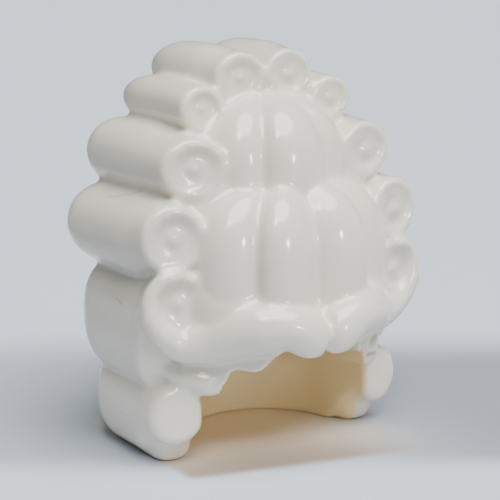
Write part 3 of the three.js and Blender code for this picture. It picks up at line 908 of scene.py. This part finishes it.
def plastic_material(finish, size, axis):
    """Glossy off-white plastic with a painted amber glow of light coming through it inside the head cavity
    and beside the face, given as colour and as faint emission.
    """
    recipe = Recipe("wig_plastic")
    place = recipe.flow(recipe.node("ShaderNodeTexCoord"), 3)
    parts = recipe.node("ShaderNodeSeparateXYZ", None, {0: place})
    x, y, z = (recipe.flow(parts, index) for index in range(3))
    # Painted glow: the mask where light coming through the plastic is painted in as amber colour.
    inside = painted_glow_mask(recipe, size, x, y - axis, z)
    cloud = recipe.noise(place, *CLOUDS)
    fine = recipe.noise(place, *FINE_GRAIN)
    clouded = colour([c * CLOUD_SHADE for c in finish.plastic])
    white = recipe.blend(recipe.rise(cloud, 0.3, 0.7), colour(finish.plastic), clouded)
    tone = recipe.blend(inside, white, colour(finish.inside))
    tone = recipe.blend(wear_mask(recipe, place, x), tone, colour(WORN))
    patchy = CLOUD_ROUGHNESS * recipe.rise(cloud, 0.35, 0.75)
    bump = recipe.node(
        "ShaderNodeBump", None, {"Strength": 0.12, "Distance": 0.02 * MM, "Height": fine + cloud})
    recipe.feed(recipe.shader, {
        "Base Color": tone,
        "Roughness": finish.roughness + patchy + INSIDE_ROUGHNESS * inside,
        "Normal": recipe.flow(bump),
        "IOR": 1.5,
        "Specular IOR Level": 0.8,
        "Subsurface Weight": 0.3,
        "Subsurface Radius": (1.0, 0.8, 0.55),
        "Subsurface Scale": finish.scatter,
        # The painted glow also shines as faint emission.
        "Emission Color": recipe.blend(inside, colour((0, 0, 0)), colour(finish.inside)),
        "Emission Strength": 0.08,
    })
    return recipe.material


class WIG_OT_finish(bpy.types.Operator):
    """Gives the moulding its plastic"""

    bl_idname = "wig.finish"
    bl_label = "Plastic Finish"

    def execute(self, context):
        wig = bpy.data.objects[PIECE_NAME]
        axis = BACK_FACE - context.scene.wig_shape.back_reach
        wig.data.materials.clear()
        wig.data.materials.append(plastic_material(context.scene.wig_finish, sizes(), axis))
        return {"FINISHED"}


# Stage

CAMERA_AZIMUTH, CAMERA_ELEVATION, CAMERA_ROLL = -33.0, 12.66, -0.39  # degrees
CAMERA_DISTANCE = 92.7  # to the target point
CAMERA_TARGET_HEIGHT = 11.0
FOCAL_PIXELS = 1541
PICTURE = 500  # pixels across and down
TARGET_PIXEL = (263.5, 262.5)  # where the target point lies in the picture
SENSOR = 36.0


def direction(azimuth, elevation):
    """The unit vector towards a place seen from the head: azimuth 0 is in front."""
    a, e = math.radians(azimuth), math.radians(elevation)
    return Vector((math.sin(a) * math.cos(e), -math.cos(a) * math.cos(e), math.sin(e)))


def camera(axis):
    """The camera at the photograph's angle, moved sideways so that the target point lies where
    the photograph shows it."""
    back = direction(CAMERA_AZIMUTH, CAMERA_ELEVATION)
    a, r = math.radians(CAMERA_AZIMUTH), math.radians(CAMERA_ROLL)
    level_right = Vector((math.cos(a), math.sin(a), 0))
    level_up = back.cross(level_right)
    right = math.cos(r) * level_right + math.sin(r) * level_up
    up = math.cos(r) * level_up - math.sin(r) * level_right
    offset_right = (TARGET_PIXEL[0] - PICTURE / 2) * CAMERA_DISTANCE / FOCAL_PIXELS
    offset_up = (TARGET_PIXEL[1] - PICTURE / 2) * CAMERA_DISTANCE / FOCAL_PIXELS
    spot = Vector((0, 0, CAMERA_TARGET_HEIGHT)) + CAMERA_DISTANCE * back
    spot += offset_up * up - offset_right * right
    spot = spot * MM + Vector((0, axis, 0))
    data = bpy.data.cameras.new("photo_camera")
    data.sensor_width = SENSOR
    data.lens = FOCAL_PIXELS / PICTURE * SENSOR
    data.clip_start, data.clip_end = 0.001, 10
    thing = bpy.data.objects.new("photo_camera", data)
    thing.matrix_world = Matrix.Translation(spot) @ Matrix((right, up, back)).transposed().to_4x4()
    bpy.context.scene.collection.objects.link(thing)
    bpy.context.scene.camera = thing


WHITE = (1.0, 1.0, 1.0)
DOME_TINT = (1.0, 0.99, 0.965)
SKY_TINT = (1.0, 0.99, 0.97)
# Azimuth and elevation, and how far the light is spread, all in degrees
DOME = (8, 66, 50)
TOP_LIGHT = (-34, 47, 14)
# Azimuth and elevation in degrees, then distance, width and height in metres
FRONT_LIGHT = (14, 8, 0.45, 0.018, 0.03)
LIGHT_TARGET = 12 * MM  # height that the front light faces


def high_light(name, place, strength, tint):
    """An even light from one direction."""
    azimuth, elevation, spread = place
    data = bpy.data.lights.new(name, "SUN")
    data.energy = strength
    data.angle = math.radians(spread)
    data.color = tint
    thing = bpy.data.objects.new(name, data)
    thing.rotation_euler = direction(azimuth, elevation).to_track_quat("Z", "Y").to_euler()
    bpy.context.scene.collection.objects.link(thing)


def soft_light(name, place, watts, tint):
    """A rectangular light that faces the wig."""
    azimuth, elevation, distance, width, height = place
    data = bpy.data.lights.new(name, "AREA")
    data.shape = "RECTANGLE"
    data.size, data.size_y = width, height
    data.energy = watts
    data.color = tint
    thing = bpy.data.objects.new(name, data)
    toward = direction(azimuth, elevation)
    thing.location = toward * distance + Vector((0, 0, LIGHT_TARGET))
    thing.rotation_euler = toward.to_track_quat("Z", "Y").to_euler()
    bpy.context.scene.collection.objects.link(thing)


# Painted shadows on the floor, with their edges in millimetres. The darker band is a painted shadow behind
# the wig's middle, seen from the camera, and is stronger towards one side.
BAND_NEAR = (-7.5, -3.5)
BAND_FAR = (14, 24)
BAND_SHADE = 0.42
BAND_LEFT, BAND_RISE = 0.56, 0.4  # its strength on the left, and how much more it is on the right
BAND_TURN = (0, 14)
# The warm shade is a painted shadow that lies before the face. It is painted lighter and warmer under the
# wig, as light coming through the plastic, and its front edge slants.
SHADE_SLANT = 0.24
SHADE_EDGE = (-6.9, -5.7)
SHADE_DEEP = (-6, -1)
SHADE_LEFT, SHADE_RIGHT = (-7.9, -7.1), (2, 9)
SHADE_REAR = (5, 9)
SHADE_FRONT = (0.36, 0.3, 0.25)
SHADE_BACK = (0.84, 0.72, 0.6)
# Beyond the picture's left and lower edge the floor is dark, so that less light comes up from it.
OUTSIDE_SLANT = 0.18
OUTSIDE_LEFT = (25, 34)
OUTSIDE_FRONT = (11.5, 15)
OUTSIDE_SHADE = 0.42
FLOOR_ROUGHNESS = 0.6


def floor_material(stage):
    """Plain pale floor with a soft darker band across it and a warm shade before the face, both painted
    shadows.
    """
    recipe = Recipe("stage_floor")
    place = recipe.flow(recipe.node("ShaderNodeTexCoord"), 3)
    parts = recipe.node("ShaderNodeSeparateXYZ", None, {0: place})
    x, y = recipe.flow(parts, 0), recipe.flow(parts, 1)

    def towards(turn):
        """How far a place lies from the middle, in a direction turned from the camera's."""
        way = direction(CAMERA_AZIMUTH + turn, 0)
        return x * way.x + y * way.y

    def shaded(share):
        return colour([c * share for c in stage.floor])

    behind, before, leftward = towards(180), towards(0), towards(-90)
    # The painted shadow of the darker band behind the wig.
    band = recipe.since(behind, BAND_NEAR) * recipe.until(behind, BAND_FAR)
    band = band * (BAND_LEFT + BAND_RISE * recipe.since(x, BAND_TURN))
    # The painted warm shadow before the face.
    ahead = y + SHADE_SLANT * x
    shade = recipe.since(ahead, SHADE_EDGE) * recipe.since(x, SHADE_LEFT)
    shade = shade * recipe.until(x, SHADE_RIGHT) * recipe.until(y, SHADE_REAR)
    warm = recipe.blend(recipe.since(ahead, SHADE_DEEP), colour(SHADE_FRONT), colour(SHADE_BACK))
    outside = recipe.since(leftward - OUTSIDE_SLANT * behind, OUTSIDE_LEFT)
    outside = outside.larger(recipe.since(before, OUTSIDE_FRONT))
    tone = recipe.blend(band, shaded(1), shaded(BAND_SHADE))
    tone = recipe.blend(shade, tone, warm)
    tone = recipe.blend(outside, tone, shaded(OUTSIDE_SHADE))
    recipe.feed(recipe.shader, {"Base Color": tone, "Roughness": FLOOR_ROUGHNESS})
    return recipe.material


FLOOR_HALF = 1.5  # metres


class WIG_OT_stage(bpy.types.Operator):
    """Pale floor, soft lights and the camera at the photograph's angle"""

    bl_idname = "wig.stage"
    bl_label = "Stage"

    def execute(self, context):
        stage = context.scene.wig_stage
        mesh = bpy.data.meshes.new("stage_floor")
        corners = [(x * FLOOR_HALF, y * FLOOR_HALF, 0) for x, y in ((-1, -1), (1, -1), (1, 1), (-1, 1))]
        mesh.from_pydata(corners, [], [(0, 1, 2, 3)])
        floor = bpy.data.objects.new("stage_floor", mesh)
        context.scene.collection.objects.link(floor)
        mesh.materials.append(floor_material(stage))
        high_light("dome", DOME, stage.dome, DOME_TINT)
        high_light("top_light", TOP_LIGHT, stage.top_light, WHITE)
        soft_light("front_light", FRONT_LIGHT, stage.front_light, WHITE)
        world = bpy.data.worlds.new("soft_surroundings")
        world.use_nodes = True
        background = world.node_tree.nodes["Background"]
        background.inputs["Color"].default_value = colour(SKY_TINT)
        background.inputs["Strength"].default_value = stage.sky
        context.scene.world = world
        camera(BACK_FACE - context.scene.wig_shape.back_reach)
        return {"FINISHED"}


class WIG_PT_panel(bpy.types.Panel):
    """Sizes, finish and the steps that build the wig"""

    bl_idname = "WIG_PT_panel"
    bl_label = "Powdered Wig"
    bl_space_type = "VIEW_3D"
    bl_region_type = "UI"
    bl_category = "Wig"

    def draw(self, context):
        for group in GROUPS:
            column = self.layout.column()
            settings = getattr(context.scene, group)
            for name in type(settings).__annotations__:
                column.prop(settings, name)
        for step in STEPS:
            self.layout.operator(step.bl_idname)


STEPS = (WIG_OT_body, WIG_OT_curls, WIG_OT_puffs, WIG_OT_locks, WIG_OT_mould, WIG_OT_finish, WIG_OT_stage)
GROUPS = {"wig_shape": WigShape, "wig_finish": WigFinish, "wig_stage": WigStage}


def register():
    for kind in (*GROUPS.values(), *STEPS, WIG_PT_panel):
        bpy.utils.register_class(kind)
    for name, kind in GROUPS.items():
        setattr(bpy.types.Scene, name, bpy.props.PointerProperty(type=kind))


def unregister():
    for name in GROUPS:
        delattr(bpy.types.Scene, name)
    for kind in reversed((*GROUPS.values(), *STEPS, WIG_PT_panel)):
        bpy.utils.unregister_class(kind)


def main():
    register()
    bpy.ops.wig.body()
    bpy.ops.wig.curls()
    bpy.ops.wig.puffs()
    bpy.ops.wig.locks()
    bpy.ops.wig.mould()
    bpy.ops.wig.finish()
    bpy.ops.wig.stage()


if __name__ == "__main__":
    main()
